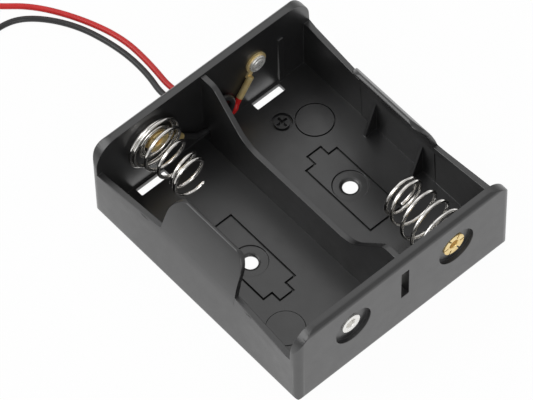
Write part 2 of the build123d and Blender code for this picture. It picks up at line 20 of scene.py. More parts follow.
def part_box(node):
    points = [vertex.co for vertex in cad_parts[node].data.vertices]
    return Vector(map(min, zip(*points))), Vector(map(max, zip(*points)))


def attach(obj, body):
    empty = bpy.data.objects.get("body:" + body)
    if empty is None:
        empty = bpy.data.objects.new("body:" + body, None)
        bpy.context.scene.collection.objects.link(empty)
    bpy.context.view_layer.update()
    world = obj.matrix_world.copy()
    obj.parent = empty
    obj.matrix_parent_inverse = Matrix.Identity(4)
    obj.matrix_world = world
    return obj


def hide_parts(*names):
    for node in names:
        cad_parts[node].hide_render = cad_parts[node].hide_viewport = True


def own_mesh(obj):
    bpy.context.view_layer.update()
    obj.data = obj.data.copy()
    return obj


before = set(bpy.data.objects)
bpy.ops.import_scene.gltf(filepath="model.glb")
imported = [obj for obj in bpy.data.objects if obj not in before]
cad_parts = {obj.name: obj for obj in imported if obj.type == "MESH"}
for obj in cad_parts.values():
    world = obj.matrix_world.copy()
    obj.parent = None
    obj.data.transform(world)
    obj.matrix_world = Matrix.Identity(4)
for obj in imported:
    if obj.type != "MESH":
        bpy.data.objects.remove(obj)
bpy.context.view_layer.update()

LOG = logging.getLogger("holder")
MM = 0.001

# Places and sizes that several pieces share
CELL_X = 13.95 * MM
CELL_Z = 14.3 * MM
FLOOR_Z = 1.2 * MM
WIRE_RADIUS = 0.4 * MM
LEAD_DIAMETER = 1.35 * MM

# Most values of a noise texture lie between these two
NOISE_LOW = 0.3
NOISE_HIGH = 0.7

# Points of a new mesh that are closer together than this are one point
SAME_POINT = 1e-7


def link(name: str, data: bpy.types.ID) -> bpy.types.Object:
    """Make an object and put it into the scene.

    Args:
        name: The object's name.
        data: Its mesh, curve, lamp or camera.

    Returns:
        The new object.
    """
    new = bpy.data.objects.new(name, data)
    bpy.context.collection.objects.link(new)
    return new


# Nodes and materials


@dataclass(frozen=True)
class Noise:
    """An uneven pattern: how many cells it has to a metre and how many octaves."""

    per_metre: float
    detail: float = 3.0


@dataclass(frozen=True)
class Relief:
    """An uneven pattern that stands out of the surface, with its share and its height."""

    noise: Noise
    strength: float
    height: float


def look_name(name: str) -> str:
    """Name a material of the scene apart from the frame's material for the same slot."""
    return f"{name}_look"


class NodeGraph:
    """A material's node tree with short calls for the nodes that these finishes use."""

    def __init__(self, name: str) -> None:
        """Start a material with a Principled shader.

        Args:
            name: The finish's name.
        """
        self.material = bpy.data.materials.new(look_name(name))
        self.material.use_nodes = True
        self.tree = self.material.node_tree
        self.shader = self.tree.nodes["Principled BSDF"]
        self.output = self.tree.nodes["Material Output"]

    def add(self, kind: str, **values: object) -> bpy.types.Node:
        """Add a node and set its properties or input defaults.

        Args:
            kind: The node's type name, such as "ShaderNodeTexNoise".
            **values: Properties by name, or inputs by name with underscores for spaces.

        Returns:
            The new node.
        """
        node = self.tree.nodes.new(kind)
        for key, value in values.items():
            socket = node.inputs.get(key.replace("_", " "))
            if socket is not None:
                socket.default_value = value
            else:
                setattr(node, key, value)
        return node

    def join(self, output: bpy.types.NodeSocket, target: bpy.types.NodeSocket) -> None:
        """Link an output socket to an input socket.

        Args:
            output: The socket that gives the value.
            target: The socket that takes it.
        """
        self.tree.links.new(output, target)

    def position(self, scale: float) -> bpy.types.NodeSocket:
        """Give Object coordinates in units of one over scale metres.

        Args:
            scale: How many pattern units there are to a metre.

        Returns:
            The socket with the scaled position.
        """
        where = self.add("ShaderNodeTexCoord")
        mapping = self.add("ShaderNodeMapping")
        mapping.inputs["Scale"].default_value = (scale, scale, scale)
        self.join(where.outputs["Object"], mapping.inputs["Vector"])
        return mapping.outputs["Vector"]

    def noise(self, pattern: Noise) -> bpy.types.NodeSocket:
        """Give a noise value on Object coordinates.

        Args:
            pattern: How fine the noise is.

        Returns:
            The socket with the noise value.
        """
        texture = self.add("ShaderNodeTexNoise", Scale=1.0, Detail=pattern.detail)
        self.join(self.position(pattern.per_metre), texture.inputs["Vector"])
        return texture.outputs["Fac"]

    def span(self, value: bpy.types.NodeSocket, low: float, high: float) -> bpy.types.NodeSocket:
        """Map a value from the noise's usual span to a new one.

        Args:
            value: The socket to map.
            low: The result at NOISE_LOW.
            high: The result at NOISE_HIGH.

        Returns:
            The socket with the mapped value.
        """
        node = self.add("ShaderNodeMapRange")
        node.inputs["From Min"].default_value = NOISE_LOW
        node.inputs["From Max"].default_value = NOISE_HIGH
        node.inputs["To Min"].default_value = low
        node.inputs["To Max"].default_value = high
        self.join(value, node.inputs["Value"])
        return node.outputs["Result"]

    def shades(
        self, value: bpy.types.NodeSocket, dark: tuple[float, ...], light: tuple[float, ...]
    ) -> bpy.types.NodeSocket:
        """Mix two colours by a noise value.

        Args:
            value: The noise value.
            dark: The colour at its low end.
            light: The colour at its high end.

        Returns:
            The socket with the colour.
        """
        ramp = self.add("ShaderNodeValToRGB")
        ramp.color_ramp.elements[0].position = NOISE_LOW
        ramp.color_ramp.elements[0].color = (*dark, 1.0)
        ramp.color_ramp.elements[1].position = NOISE_HIGH
        ramp.color_ramp.elements[1].color = (*light, 1.0)
        self.join(value, ramp.inputs["Fac"])
        return ramp.outputs["Color"]

    def bump(self, relief: Relief) -> None:
        """Raise the surface's normal by a relief, after any bump that is there already.

        Args:
            relief: The pattern, its share and its height in metres.
        """
        node = self.add("ShaderNodeBump", Strength=relief.strength, Distance=relief.height)
        self.join(self.noise(relief.noise), node.inputs["Height"])
        before = self.shader.inputs["Normal"]
        if before.is_linked:
            self.join(before.links[0].from_socket, node.inputs["Normal"])
        self.join(node.outputs["Normal"], before)


@dataclass(frozen=True)
class UnevenFinish:
    """A finish whose colour and gloss change a little from place to place."""

    name: str
    dark: tuple[float, float, float]
    light: tuple[float, float, float]
    roughness: tuple[float, float]

    colour_noise: ClassVar[Noise]
    gloss_noise: ClassVar[Noise]

    def coated(self) -> NodeGraph:
        """Start the material with its colour and its gloss.

        Returns:
            The material's nodes, to which each kind of finish adds its own.
        """
        graph = NodeGraph(self.name)
        colour = graph.shades(graph.noise(self.colour_noise), self.dark, self.light)
        gloss = graph.span(graph.noise(self.gloss_noise), *self.roughness)
        graph.join(colour, graph.shader.inputs["Base Color"])
        graph.join(gloss, graph.shader.inputs["Roughness"])
        return graph


@dataclass(frozen=True)
class MouldedPlastic(UnevenFinish):
    """Black moulded plastic with the faint grain of a spark-eroded tool."""

    name: str = "tray_plastic"
    dark: tuple[float, float, float] = (0.010, 0.010, 0.0105)
    light: tuple[float, float, float] = (0.014, 0.014, 0.0145)
    roughness: tuple[float, float] = (0.29, 0.35)
    specular: float = 1.0
    grain: Relief = Relief(Noise(3800, 2), 0.25, 0.04 * MM)
    flow_marks: Relief = Relief(Noise(90, 1), 0.12, 0.4 * MM)

    colour_noise: ClassVar[Noise] = Noise(160)
    gloss_noise: ClassVar[Noise] = Noise(420, 4)

    def make(self) -> bpy.types.Material:
        """Make the material.

        Returns:
            The plastic, with fine grain, slow changes of gloss and faint flow marks.
        """
        graph = self.coated()
        graph.shader.inputs["Specular IOR Level"].default_value = self.specular
        graph.bump(self.grain)
        graph.bump(self.flow_marks)
        return graph.material


@dataclass(frozen=True)
class PlatedMetal(UnevenFinish):
    """Bright metal with a finely uneven surface and small changes of gloss.

    Where metallic is under 1, a share of plain colour under the gloss keeps the piece bright in
    the dark bays.
    """

    dents: float = 0.12
    metallic: float = 0.6

    colour_noise: ClassVar[Noise] = Noise(700)
    gloss_noise: ClassVar[Noise] = Noise(1500, 4)
    dent_noise: ClassVar[Noise] = Noise(2600)
    dent_height: ClassVar[float] = 0.03 * MM

    def make(self) -> bpy.types.Material:
        """Make the material.

        Returns:
            The metal.
        """
        graph = self.coated()
        graph.shader.inputs["Metallic"].default_value = self.metallic
        graph.bump(Relief(self.dent_noise, self.dents, self.dent_height))
        return graph.material


@dataclass(frozen=True)
class SoftInsulation(UnevenFinish):
    """Smooth soft insulation of a lead, slightly uneven as extruded."""

    roughness: tuple[float, float] = (0.30, 0.40)
    waves: Relief = Relief(Noise(500, 2), 0.15, 0.1 * MM)

    colour_noise: ClassVar[Noise] = Noise(260)
    gloss_noise: ClassVar[Noise] = Noise(900)

    def make(self) -> bpy.types.Material:
        """Make the material.

        Returns:
            The insulation.
        """
        graph = self.coated()
        graph.bump(self.waves)
        return graph.material


@dataclass(frozen=True)
class PaleGround:
    """The studio's ground: white where the camera or a gloss looks at it, pale under light."""

    name: str
    albedo: float = 0.80
    seen_white: float = 0.97
    roughness: float = 0.9
    specular: float = 0.1

    def make(self) -> bpy.types.Material:
        """Make the material.

        Returns:
            The ground, which keeps a faint shadow of the object and isn't there from below.
        """
        graph = NodeGraph(self.name)
        graph.shader.inputs["Base Color"].default_value = (self.albedo,) * 3 + (1.0,)
        graph.shader.inputs["Roughness"].default_value = self.roughness
        graph.shader.inputs["Specular IOR Level"].default_value = self.specular
        glow = graph.add("ShaderNodeEmission", Strength=1.0)
        glow.inputs["Color"].default_value = (1.0, 1.0, 1.0, 1.0)
        rays = graph.add("ShaderNodeLightPath")
        seen = graph.add("ShaderNodeMath", operation="MAXIMUM")
        share = graph.add("ShaderNodeMath", operation="MULTIPLY")
        share.inputs[1].default_value = self.seen_white
        mix = graph.add("ShaderNodeMixShader")
        graph.join(rays.outputs["Is Camera Ray"], seen.inputs[0])
        graph.join(rays.outputs["Is Glossy Ray"], seen.inputs[1])
        graph.join(seen.outputs[0], share.inputs[0])
        graph.join(share.outputs[0], mix.inputs["Fac"])
        graph.join(graph.shader.outputs["BSDF"], mix.inputs[1])
        graph.join(glow.outputs["Emission"], mix.inputs[2])
        below = graph.add("ShaderNodeMixShader")
        graph.join(graph.add("ShaderNodeNewGeometry").outputs["Backfacing"], below.inputs["Fac"])
        graph.join(mix.outputs["Shader"], below.inputs[1])
        graph.join(graph.add("ShaderNodeBsdfTransparent").outputs["BSDF"], below.inputs[2])
        graph.join(below.outputs["Shader"], graph.output.inputs["Surface"])
        return graph.material


class Finish(Enum):
    """The finishes of the object's pieces."""

    PLASTIC = MouldedPlastic()
    NICKEL = PlatedMetal("nickel_plate", (0.84, 0.83, 0.80), (0.95, 0.94, 0.91), (0.24, 0.34))
    WIRE = PlatedMetal(
        "spring_wire",
        (0.88, 0.86, 0.82),
        (0.98, 0.96, 0.93),
        (0.12, 0.20),
        dents=0.04,
        metallic=1.0,
    )
    BRASS = PlatedMetal("brass", (0.88, 0.64, 0.25), (0.98, 0.80, 0.42), (0.30, 0.42))
    RED = SoftInsulation("red_insulation", (0.56, 0.012, 0.012), (0.68, 0.022, 0.020))
    BLACK = SoftInsulation("black_insulation", (0.018, 0.018, 0.019), (0.026, 0.026, 0.027))
    TIN = PlatedMetal("tinned_copper", (0.66, 0.65, 0.63), (0.80, 0.79, 0.77), (0.22, 0.36))

    @property
    def slot(self) -> str:
        """Name of the record's material slot."""
        return self.value.name

    def material(self) -> bpy.types.Material:
        """Give the finish's material, made once."""
        return bpy.data.materials.get(look_name(self.slot)) or self.value.make()


# Building meshes


def vectors(*columns: np.ndarray | float) -> np.ndarray:
    """Stack coordinates, broadcast together, as an array of points.

    Args:
        *columns: The x, y and z of the points.

    Returns:
        An array whose last axis is x, y, z.
    """
    return np.stack(np.broadcast_arrays(*columns), axis=-1).astype(float)


def unit(v: np.ndarray) -> np.ndarray:
    """Scale vectors to length one along the last axis."""
    return v / np.linalg.norm(v, axis=-1, keepdims=True)


def grid_faces(rows: int, columns: int, close_rows: bool, close_columns: bool) -> list:
    """Give the quads of a grid of points that are numbered row by row.

    Args:
        rows: Number of rows.
        columns: Number of points in a row.
        close_rows: Whether the last row joins the first.
        close_columns: Whether the last column joins the first.

    Returns:
        Four point numbers for each quad.
    """
    r = np.arange(rows if close_rows else rows - 1)[:, None]
    c = np.arange(columns if close_columns else columns - 1)[None, :]
    r2, c2 = (r + 1) % rows, (c + 1) % columns
    corners = [r * columns + c, r * columns + c2, r2 * columns + c2, r2 * columns + c]
    quads = np.stack(corners, axis=-1)
    return quads.reshape(-1, 4).tolist()


@contextmanager
def editing(mesh: bpy.types.Mesh) -> Iterator[bmesh.types.BMesh]:
    """Open a mesh for edits, and write them back at the end.

    Args:
        mesh: The mesh.

    Yields:
        The mesh's points, edges and faces.
    """
    work = bmesh.new()
    work.from_mesh(mesh)
    yield work
    work.to_mesh(mesh)
    work.free()


def mesh_from(name: str, points: np.ndarray, faces: list) -> bpy.types.Mesh:
    """Make a mesh with merged points and outward faces.

    Args:
        name: The mesh's name.
        points: Its points, in metres.
        faces: Lists of point numbers, one list for each face.

    Returns:
        The mesh.
    """
    mesh = bpy.data.meshes.new(name)
    mesh.from_pydata(points.reshape(-1, 3).tolist(), [], faces)
    with editing(mesh) as work:
        bmesh.ops.remove_doubles(work, verts=work.verts, dist=SAME_POINT)
        bmesh.ops.recalc_face_normals(work, faces=work.faces)
    return mesh


def soften(mesh: bpy.types.Mesh, crease: float) -> None:
    """Shade a mesh smooth, apart from edges that turn more than the crease angle.

    Args:
        mesh: The mesh.
        crease: The largest angle that is still smooth.
    """
    mesh.shade_smooth()
    with editing(mesh) as work:
        for edge in work.edges:
            edge.smooth = not edge.is_manifold or edge.calc_face_angle(0.0) <= crease


def coat(mesh: bpy.types.Mesh, finish: Finish) -> None:
    """Give a whole mesh one finish, in place of any that it has."""
    mesh.materials.clear()
    mesh.materials.append(finish.material())


def place(name: str, mesh: bpy.types.Mesh, finish: Finish) -> bpy.types.Object:
    """Put a finished mesh into the scene at the origin.

    Args:
        name: The object's name.
        mesh: Its mesh.
        finish: The finish of the whole piece.

    Returns:
        The new object.
    """
    coat(mesh, finish)
    return link(name, mesh)


def settle(piece: bpy.types.Object, finish: Finish, body: str, *nodes: str) -> None:
    """Put a piece on its body and say which nodes it stands for.

    Args:
        piece: The piece.
        finish: Its finish; not used.
        body: The body that it moves with.
        *nodes: The frame's nodes that it replaces.
    """
    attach(piece, body)
    if nodes:
        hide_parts(*nodes)
    LOG.info("%s on %s, %s", piece.name, body, ", ".join(nodes) or "added")


@dataclass(frozen=True)
class WallPlace:
    """A place on a cell's axis at an end wall, with its own axes.

    Local x runs across the wall, local y down and local z out through the wall.
    """

    x: float
    y: float
    outward: int

    def put(self, local: np.ndarray) -> np.ndarray:
        """Turn local points into points of the frame.

        Args:
            local: Points as local x, local y and local z, in metres.

        Returns:
            The same points in the frame.
        """
        across = self.x + self.outward * local[..., 0]
        along = self.y + self.outward * local[..., 2]
        return vectors(across, along, CELL_Z - local[..., 1])


def tube_round(
    path: np.ndarray, radius: np.ndarray | float, lean: np.ndarray, sides: int
) -> np.ndarray:
    """Carry a circle along a path.

    The circle's plane is square to the path. Its first axis is the cross product of the path's
    direction and the lean vector, which the path must never run along.

    Args:
        path: Points of the middle line.
        radius: Radius at each point, or one radius.
        lean: The reference vector.
        sides: Number of points round the circle.

    Returns:
        A grid of points, one row for each point of the path.
    """
    ahead = unit(np.gradient(path, axis=0))
    first = unit(np.cross(ahead, lean))
    second = np.cross(ahead, first)
    angle = np.linspace(0, 2 * math.pi, sides, endpoint=False)[None, :, None]
    ring = np.cos(angle) * first[:, None] + np.sin(angle) * second[:, None]
    return path[:, None] + np.broadcast_to(radius, len(path))[:, None, None] * ring


def capped_tube_faces(rows: int, sides: int) -> list:
    """Give the faces of a tube with flat round ends.

    Args:
        rows: Number of rings.
        sides: Number of points in a ring.

    Returns:
        Lists of point numbers.
    """
    last = (rows - 1) * sides
    ends = [list(range(sides))[::-1], list(range(last, last + sides))]
    return grid_faces(rows, sides, False, True) + ends


def smooth_steps(knots: np.ndarray, values: np.ndarray, at: np.ndarray) -> np.ndarray:
    """Draw a smooth curve through values, a cubic with the slopes of its neighbours.

    Args:
        knots: Evenly spaced places of the values.
        values: The values.
        at: Where to work the curve out.

    Returns:
        The curve's values.
    """
    gap = knots[1] - knots[0]
    slopes = np.gradient(values, gap)
    i = np.clip(((at - knots[0]) / gap).astype(int), 0, len(knots) - 2)
    s = (at - knots[i]) / gap
    before, after = values[i], values[i + 1]
    rise, bend = slopes[i] * gap, slopes[i + 1] * gap
    first = (2 * s**3 - 3 * s**2 + 1) * before + (s**3 - 2 * s**2 + s) * rise
    return first + (3 * s**2 - 2 * s**3) * after + (s**3 - s**2) * bend


# The studio


@dataclass(frozen=True)
class Lamp:
    """A square soft lamp that faces the object, in metres and watts."""

    name: str
    place: tuple[float, float, float]
    size: float
    power: float

    def hang(self) -> None:
        """Put the lamp into the scene."""
        data = bpy.data.lights.new(self.name, "AREA")
        data.size, data.energy = self.size, self.power
        lamp = link(self.name, data)
        lamp.location = self.place
        lamp.rotation_euler = (-Vector(self.place)).to_track_quat("-Z", "Y").to_euler()


@dataclass
class Studio:
    """Camera, lights and ground."""

    eye: tuple[float, float, float] = (-0.3418, -0.3965, 0.81304)
    azimuth: float = -40.014
    elevation: float = 56.898
    roll: float = -1.787
    lens: float = 317.4
    sensor: float = 36.0
    clip: tuple[float, float] = (0.05, 20.0)
    ground_half: float = 3.0
    ground_gap: float = 0.02 * MM
    surround: float = 0.5
    lamps: tuple[Lamp, ...] = (
        Lamp("overhead", (0.35, 0.42, 0.84), 0.9, 1.3),
        Lamp("far_left", (-0.60, 0.45, 0.75), 0.7, 3.5),
        Lamp("front", (-0.30, -0.80, 0.55), 0.6, 2.5),
    )

    def camera(self) -> None:
        """Place the camera at the photograph's angle."""
        a, e, r = (math.radians(v) for v in (self.azimuth, self.elevation, self.roll))
        back = Vector((math.sin(a) * math.cos(e), -math.cos(a) * math.cos(e), math.sin(e)))
        level = Vector((math.cos(a), math.sin(a), 0))
        right = level * math.cos(r) + back.cross(level) * math.sin(r)
        data = bpy.data.cameras.new("camera")
        data.lens, data.sensor_width = self.lens, self.sensor
        data.clip_start, data.clip_end = self.clip
        camera = link("camera", data)
        turn = Matrix((right, back.cross(right), back)).transposed()
        camera.matrix_world = Matrix.Translation(self.eye) @ turn.to_4x4()
        bpy.context.scene.camera = camera

    def sky(self) -> None:
        """Set the room: a pale surround that is white where the camera looks past the ground."""
        world = bpy.data.worlds.new("room")
        world.use_nodes = True
        tree = world.node_tree
        background = tree.nodes["Background"]
        background.inputs["Color"].default_value = (1.0, 1.0, 1.0, 1.0)
        rays = tree.nodes.new("ShaderNodeLightPath")
        level = tree.nodes.new("ShaderNodeMapRange")
        level.inputs["To Min"].default_value = self.surround
        level.inputs["To Max"].default_value = 1.0
        tree.links.new(rays.outputs["Is Camera Ray"], level.inputs["Value"])
        tree.links.new(level.outputs["Result"], background.inputs["Strength"])
        bpy.context.scene.world = world

    def ground(self) -> None:
        """Lay the plain pale ground under the object."""
        h, z = self.ground_half, -self.ground_gap
        mesh = bpy.data.meshes.new("ground")
        mesh.from_pydata([(-h, -h, z), (h, -h, z), (h, h, z), (-h, h, z)], [], [(0, 1, 2, 3)])
        mesh.materials.append(PaleGround("ground").make())
        link("ground", mesh)

    def build(self) -> None:
        """Build the whole studio."""
        bpy.context.scene.view_settings.view_transform = "Standard"
        self.camera()
        self.sky()
        self.ground()
        for lamp in self.lamps:
            lamp.hang()


# The leads


def arc_controls(radius: float, sweep: float, steps: int) -> np.ndarray:
    """Give the control points of an arc about the origin that starts on the x axis.

    A control polygon's points stand outside its circle by the cosine of half their step.

    Args:
        radius: The arc's radius.
        sweep: The angle that it spans.
        steps: Number of control points.

    Returns:
        The control points.
    """
    width = sweep / steps
    angle = (np.arange(steps) + 0.5) * width
    outside = radius / math.cos(width / 2)
    return vectors(outside * np.cos(angle), outside * np.sin(angle), 0.0)


@dataclass
class Lead:
    """One free lead outside the tray: its route over the ground, its flat coil and its tail.

    left_by_bends, the share of the route's straight runs that the smooth curve would keep, is not
    used. The stripped end is a piece of the frame.
    """

    colour: str
    finish: Finish
    route: list[tuple[float, float, float]]
    diameter: float = LEAD_DIAMETER
    coil_radius: float = 8.2 * MM
    coil_gap: float = 0.15 * MM
    half_turns: int = 4
    points_per_half_turn: int = 12
    tail_radius: float = 4.1 * MM
    tail_sweep: float = math.radians(120)
    tail_steps: int = 6
    section_steps: int = 5
    curve_steps: int = 10
    left_by_bends: float = 0.99

    @property
    def step(self) -> float:
        """How much smaller each half circle of the coil is than the one before."""
        return (self.diameter + self.coil_gap) / 2

    def coil_points(self) -> np.ndarray:
        """Work out the control points of the coil and the tail.

        Each half circle of the coil is smaller than the one before by half a turn's pitch, and its
        centre lies half a pitch to the side, so that the line is smooth. The tail is one tighter
        arc.

        Returns:
            Control points in the frame, after the route's last point.
        """
        before, arrival = np.array(self.route[-2]), np.array(self.route[-1])
        heading = unit(arrival - before)
        inward = np.array([-heading[1], heading[0], 0.0])
        centre = arrival + inward * self.coil_radius
        rings = []
        for i in range(self.half_turns):
            side = i % 2
            radius = self.coil_radius - self.step * i
            half_circle = arc_controls(radius, math.pi, self.points_per_half_turn)
            rings.append((-1) ** side * half_circle - [self.step * side, 0, 0])
        middle = self.coil_radius - self.step * self.half_turns - self.tail_radius
        tail = arc_controls(self.tail_radius, self.tail_sweep, self.tail_steps)
        end = np.array([[math.cos(self.tail_sweep), math.sin(self.tail_sweep), 0]])
        rings += [tail + [middle, 0, 0], self.tail_radius * end + [middle, 0, 0]]
        flat = np.concatenate(rings)
        return centre + flat[:, :1] * -inward + flat[:, 1:2] * heading

    def build(self) -> bpy.types.Object:
        """Returns:
            The curve object.
        """
        control = np.concatenate([np.array(self.route), self.coil_points()])
        curve = bpy.data.curves.new(f"lead_{self.colour}_wire", "CURVE")
        curve.dimensions = "3D"
        curve.bevel_depth = self.diameter / 2
        curve.bevel_resolution = self.section_steps
        curve.resolution_u = self.curve_steps
        curve.use_fill_caps = True
        spline = curve.splines.new("NURBS")
        spline.points.add(len(control) - 1)
        spline.points.foreach_set("co", np.c_[control, np.ones(len(control))].ravel())
        spline.order_u = 3
        spline.use_endpoint_u = True
        curve.materials.append(self.finish.material())
        piece = link(curve.name, curve)
        name = f"lead_{self.colour}"
        settle(piece, self.finish, "tray", name, f"{name}_coil", f"{name}_tail")
        return piece


def in_metres(points: list[tuple[float, float, float]]) -> list[tuple[float, float, float]]:
    """Turn points in millimetres into points in metres."""
    return [(x * MM, y * MM, z * MM) for x, y, z in points]


def lead_routes() -> dict[str, list[tuple[float, float, float]]]:
    """Give each lead's points in metres, from the wall to the start of its coil on the ground."""
    low = LEAD_DIAMETER / 2 / MM
    red = [
        (5.4, 31.75, 3.3),
        (5.4, 34.2, 3.3),
        (4.5, 38.0, 1.4),
        (2.2, 42.6, low),
        (3.3, 51.5, low),
        (3.2, 60.5, low),
        (-0.3, 70.5, low),
        (-5.5, 79.3, low),
        (-11.5, 84.5, low),
        (-17.0, 90.5, low),
        (-23.5, 95.0, low),
    ]
    black = [
        (3.9, 31.75, 3.3),
        (3.9, 34.2, 3.3),
        (2.6, 38.0, 1.4),
        (-0.3, 42.4, low),
        (1.35, 50.5, low),
        (0.9, 59.5, low),
        (-2.1, 70.0, low),
        (-8.6, 78.4, low),
        (-15.5, 80.2, low),
        (-23.5, 78.2, low),
        (-32.0, 75.8, low),
        (-40.5, 75.0, low),
    ]
    return {"red": in_metres(red), "black": in_metres(black)}


# The tray


@dataclass(frozen=True)
class FloorMarks:
    """Grooves of the bays' floors: the outline of a cell, a ring round a disc, the polarity.

    They are given for the right bay. The cell comes again in the left bay, turned half way round
    the middle of the holder.
    """

    width: float = 0.46 * MM
    depth: float = 0.75 * MM
    disc: tuple[float, float] = (19.2 * MM, 17.0 * MM)
    disc_radius: float = 4.15 * MM
    disc_width: float = 0.24 * MM
    pole: tuple[float, float] = (13.77 * MM, 21.23 * MM)
    pole_radius: float = 2.0 * MM
    pole_arm: float = 1.35 * MM
    pole_width: float = 0.62 * MM
    ring_steps: int = 72

    @property
    def levels(self) -> tuple[float, float]:
        """Heights of the grooves' bottom and of the cutters' top, well over the floor."""
        return FLOOR_Z - self.depth, FLOOR_Z + self.depth

    def cell(self) -> np.ndarray:
        """Give the outline of a cell with its button, anticlockwise."""
        outline = [
            (9.38, -11.02),
            (17.93, -11.02),
            (17.93, 8.78),
            (15.60, 8.78),
            (15.60, 11.21),
            (11.90, 11.21),
            (11.90, 8.78),
            (9.38, 8.78),
        ]
        return np.array(outline) * MM

    def prism(self, outline: np.ndarray, name: str) -> bpy.types.Mesh:
        """Raise an outline from the groove's bottom to well over the floor.

        Args:
            outline: Points in x and y, in metres.
            name: The mesh's name.

        Returns:
            The prism.
        """
        count = len(outline)
        points = np.stack([vectors(outline[:, 0], outline[:, 1], z) for z in self.levels])
        ends = [list(range(count))[::-1], list(range(count, 2 * count))]
        return mesh_from(name, points, grid_faces(2, count, False, True) + ends)

    def band(self, inner: np.ndarray, outer: np.ndarray, name: str) -> bpy.types.Mesh:
        """Raise the band between two closed outlines of the same number of points.

        Args:
            inner: Points of the inner outline, in metres.
            outer: Points of the outer one.
            name: The mesh's name.

        Returns:
            The band, from the groove's bottom to well over the floor.
        """
        low, high = self.levels
        loops = [(inner, low), (outer, low), (outer, high), (inner, high)]
        points = np.stack([vectors(line[:, 0], line[:, 1], z) for line, z in loops])
        return mesh_from(name, points, grid_faces(4, len(inner), True, True))

    def ring(
        self, centre: tuple[float, float], radius: float, width: float, name: str
    ) -> bpy.types.Mesh:
        """Make a ring-shaped cutter.

        Args:
            centre: Its centre in x and y.
            radius: Radius of the groove's middle.
            width: The groove's width.
            name: The mesh's name.

        Returns:
            The cutter.
        """
        angle = np.linspace(0, 2 * math.pi, self.ring_steps, endpoint=False)
        round_once = np.stack([np.cos(angle), np.sin(angle)], axis=-1)
        inner, outer = (
            np.array(centre) + (radius + side * width / 2) * round_once for side in (-1, 1)
        )
        return self.band(inner, outer, name)

    def plus(self) -> np.ndarray:
        """Give the outline of the plus sign: a corner and an arm's end, turned four times."""
        half, arm = self.pole_width / 2, self.pole_arm
        quarter = np.array([(half, half), (half, arm), (-half, arm)])
        turns = [np.array(Matrix.Rotation(math.radians(90 * i), 2)) for i in range(4)]
        return np.concatenate([quarter @ turn.T for turn in turns]) + self.pole

    def cell_edges(self) -> tuple[np.ndarray, np.ndarray]:
        """Move the cell's outline inwards and outwards by half the groove's width.

        Returns:
            The inner and the outer outline.
        """
        line = self.cell()
        before = unit(line - np.roll(line, 1, axis=0))
        after = unit(np.roll(line, -1, axis=0) - line)
        outward = np.stack([before[:, 1] + after[:, 1], -before[:, 0] - after[:, 0]], axis=-1)
        return line - self.width / 2 * outward, line + self.width / 2 * outward

    def cutters(self) -> list[bpy.types.Mesh]:
        """Make the solids that cut the grooves.

        Returns:
            One closed mesh for each groove that stands by itself.
        """
        inner, outer = self.cell_edges()
        return [
            self.band(inner, outer, "cell"),
            self.band(-inner, -outer, "cell"),
            self.ring(self.disc, self.disc_radius, self.disc_width, "disc"),
            self.ring(self.pole, self.pole_radius, self.pole_width, "pole"),
            self.prism(self.plus(), "plus"),
        ]


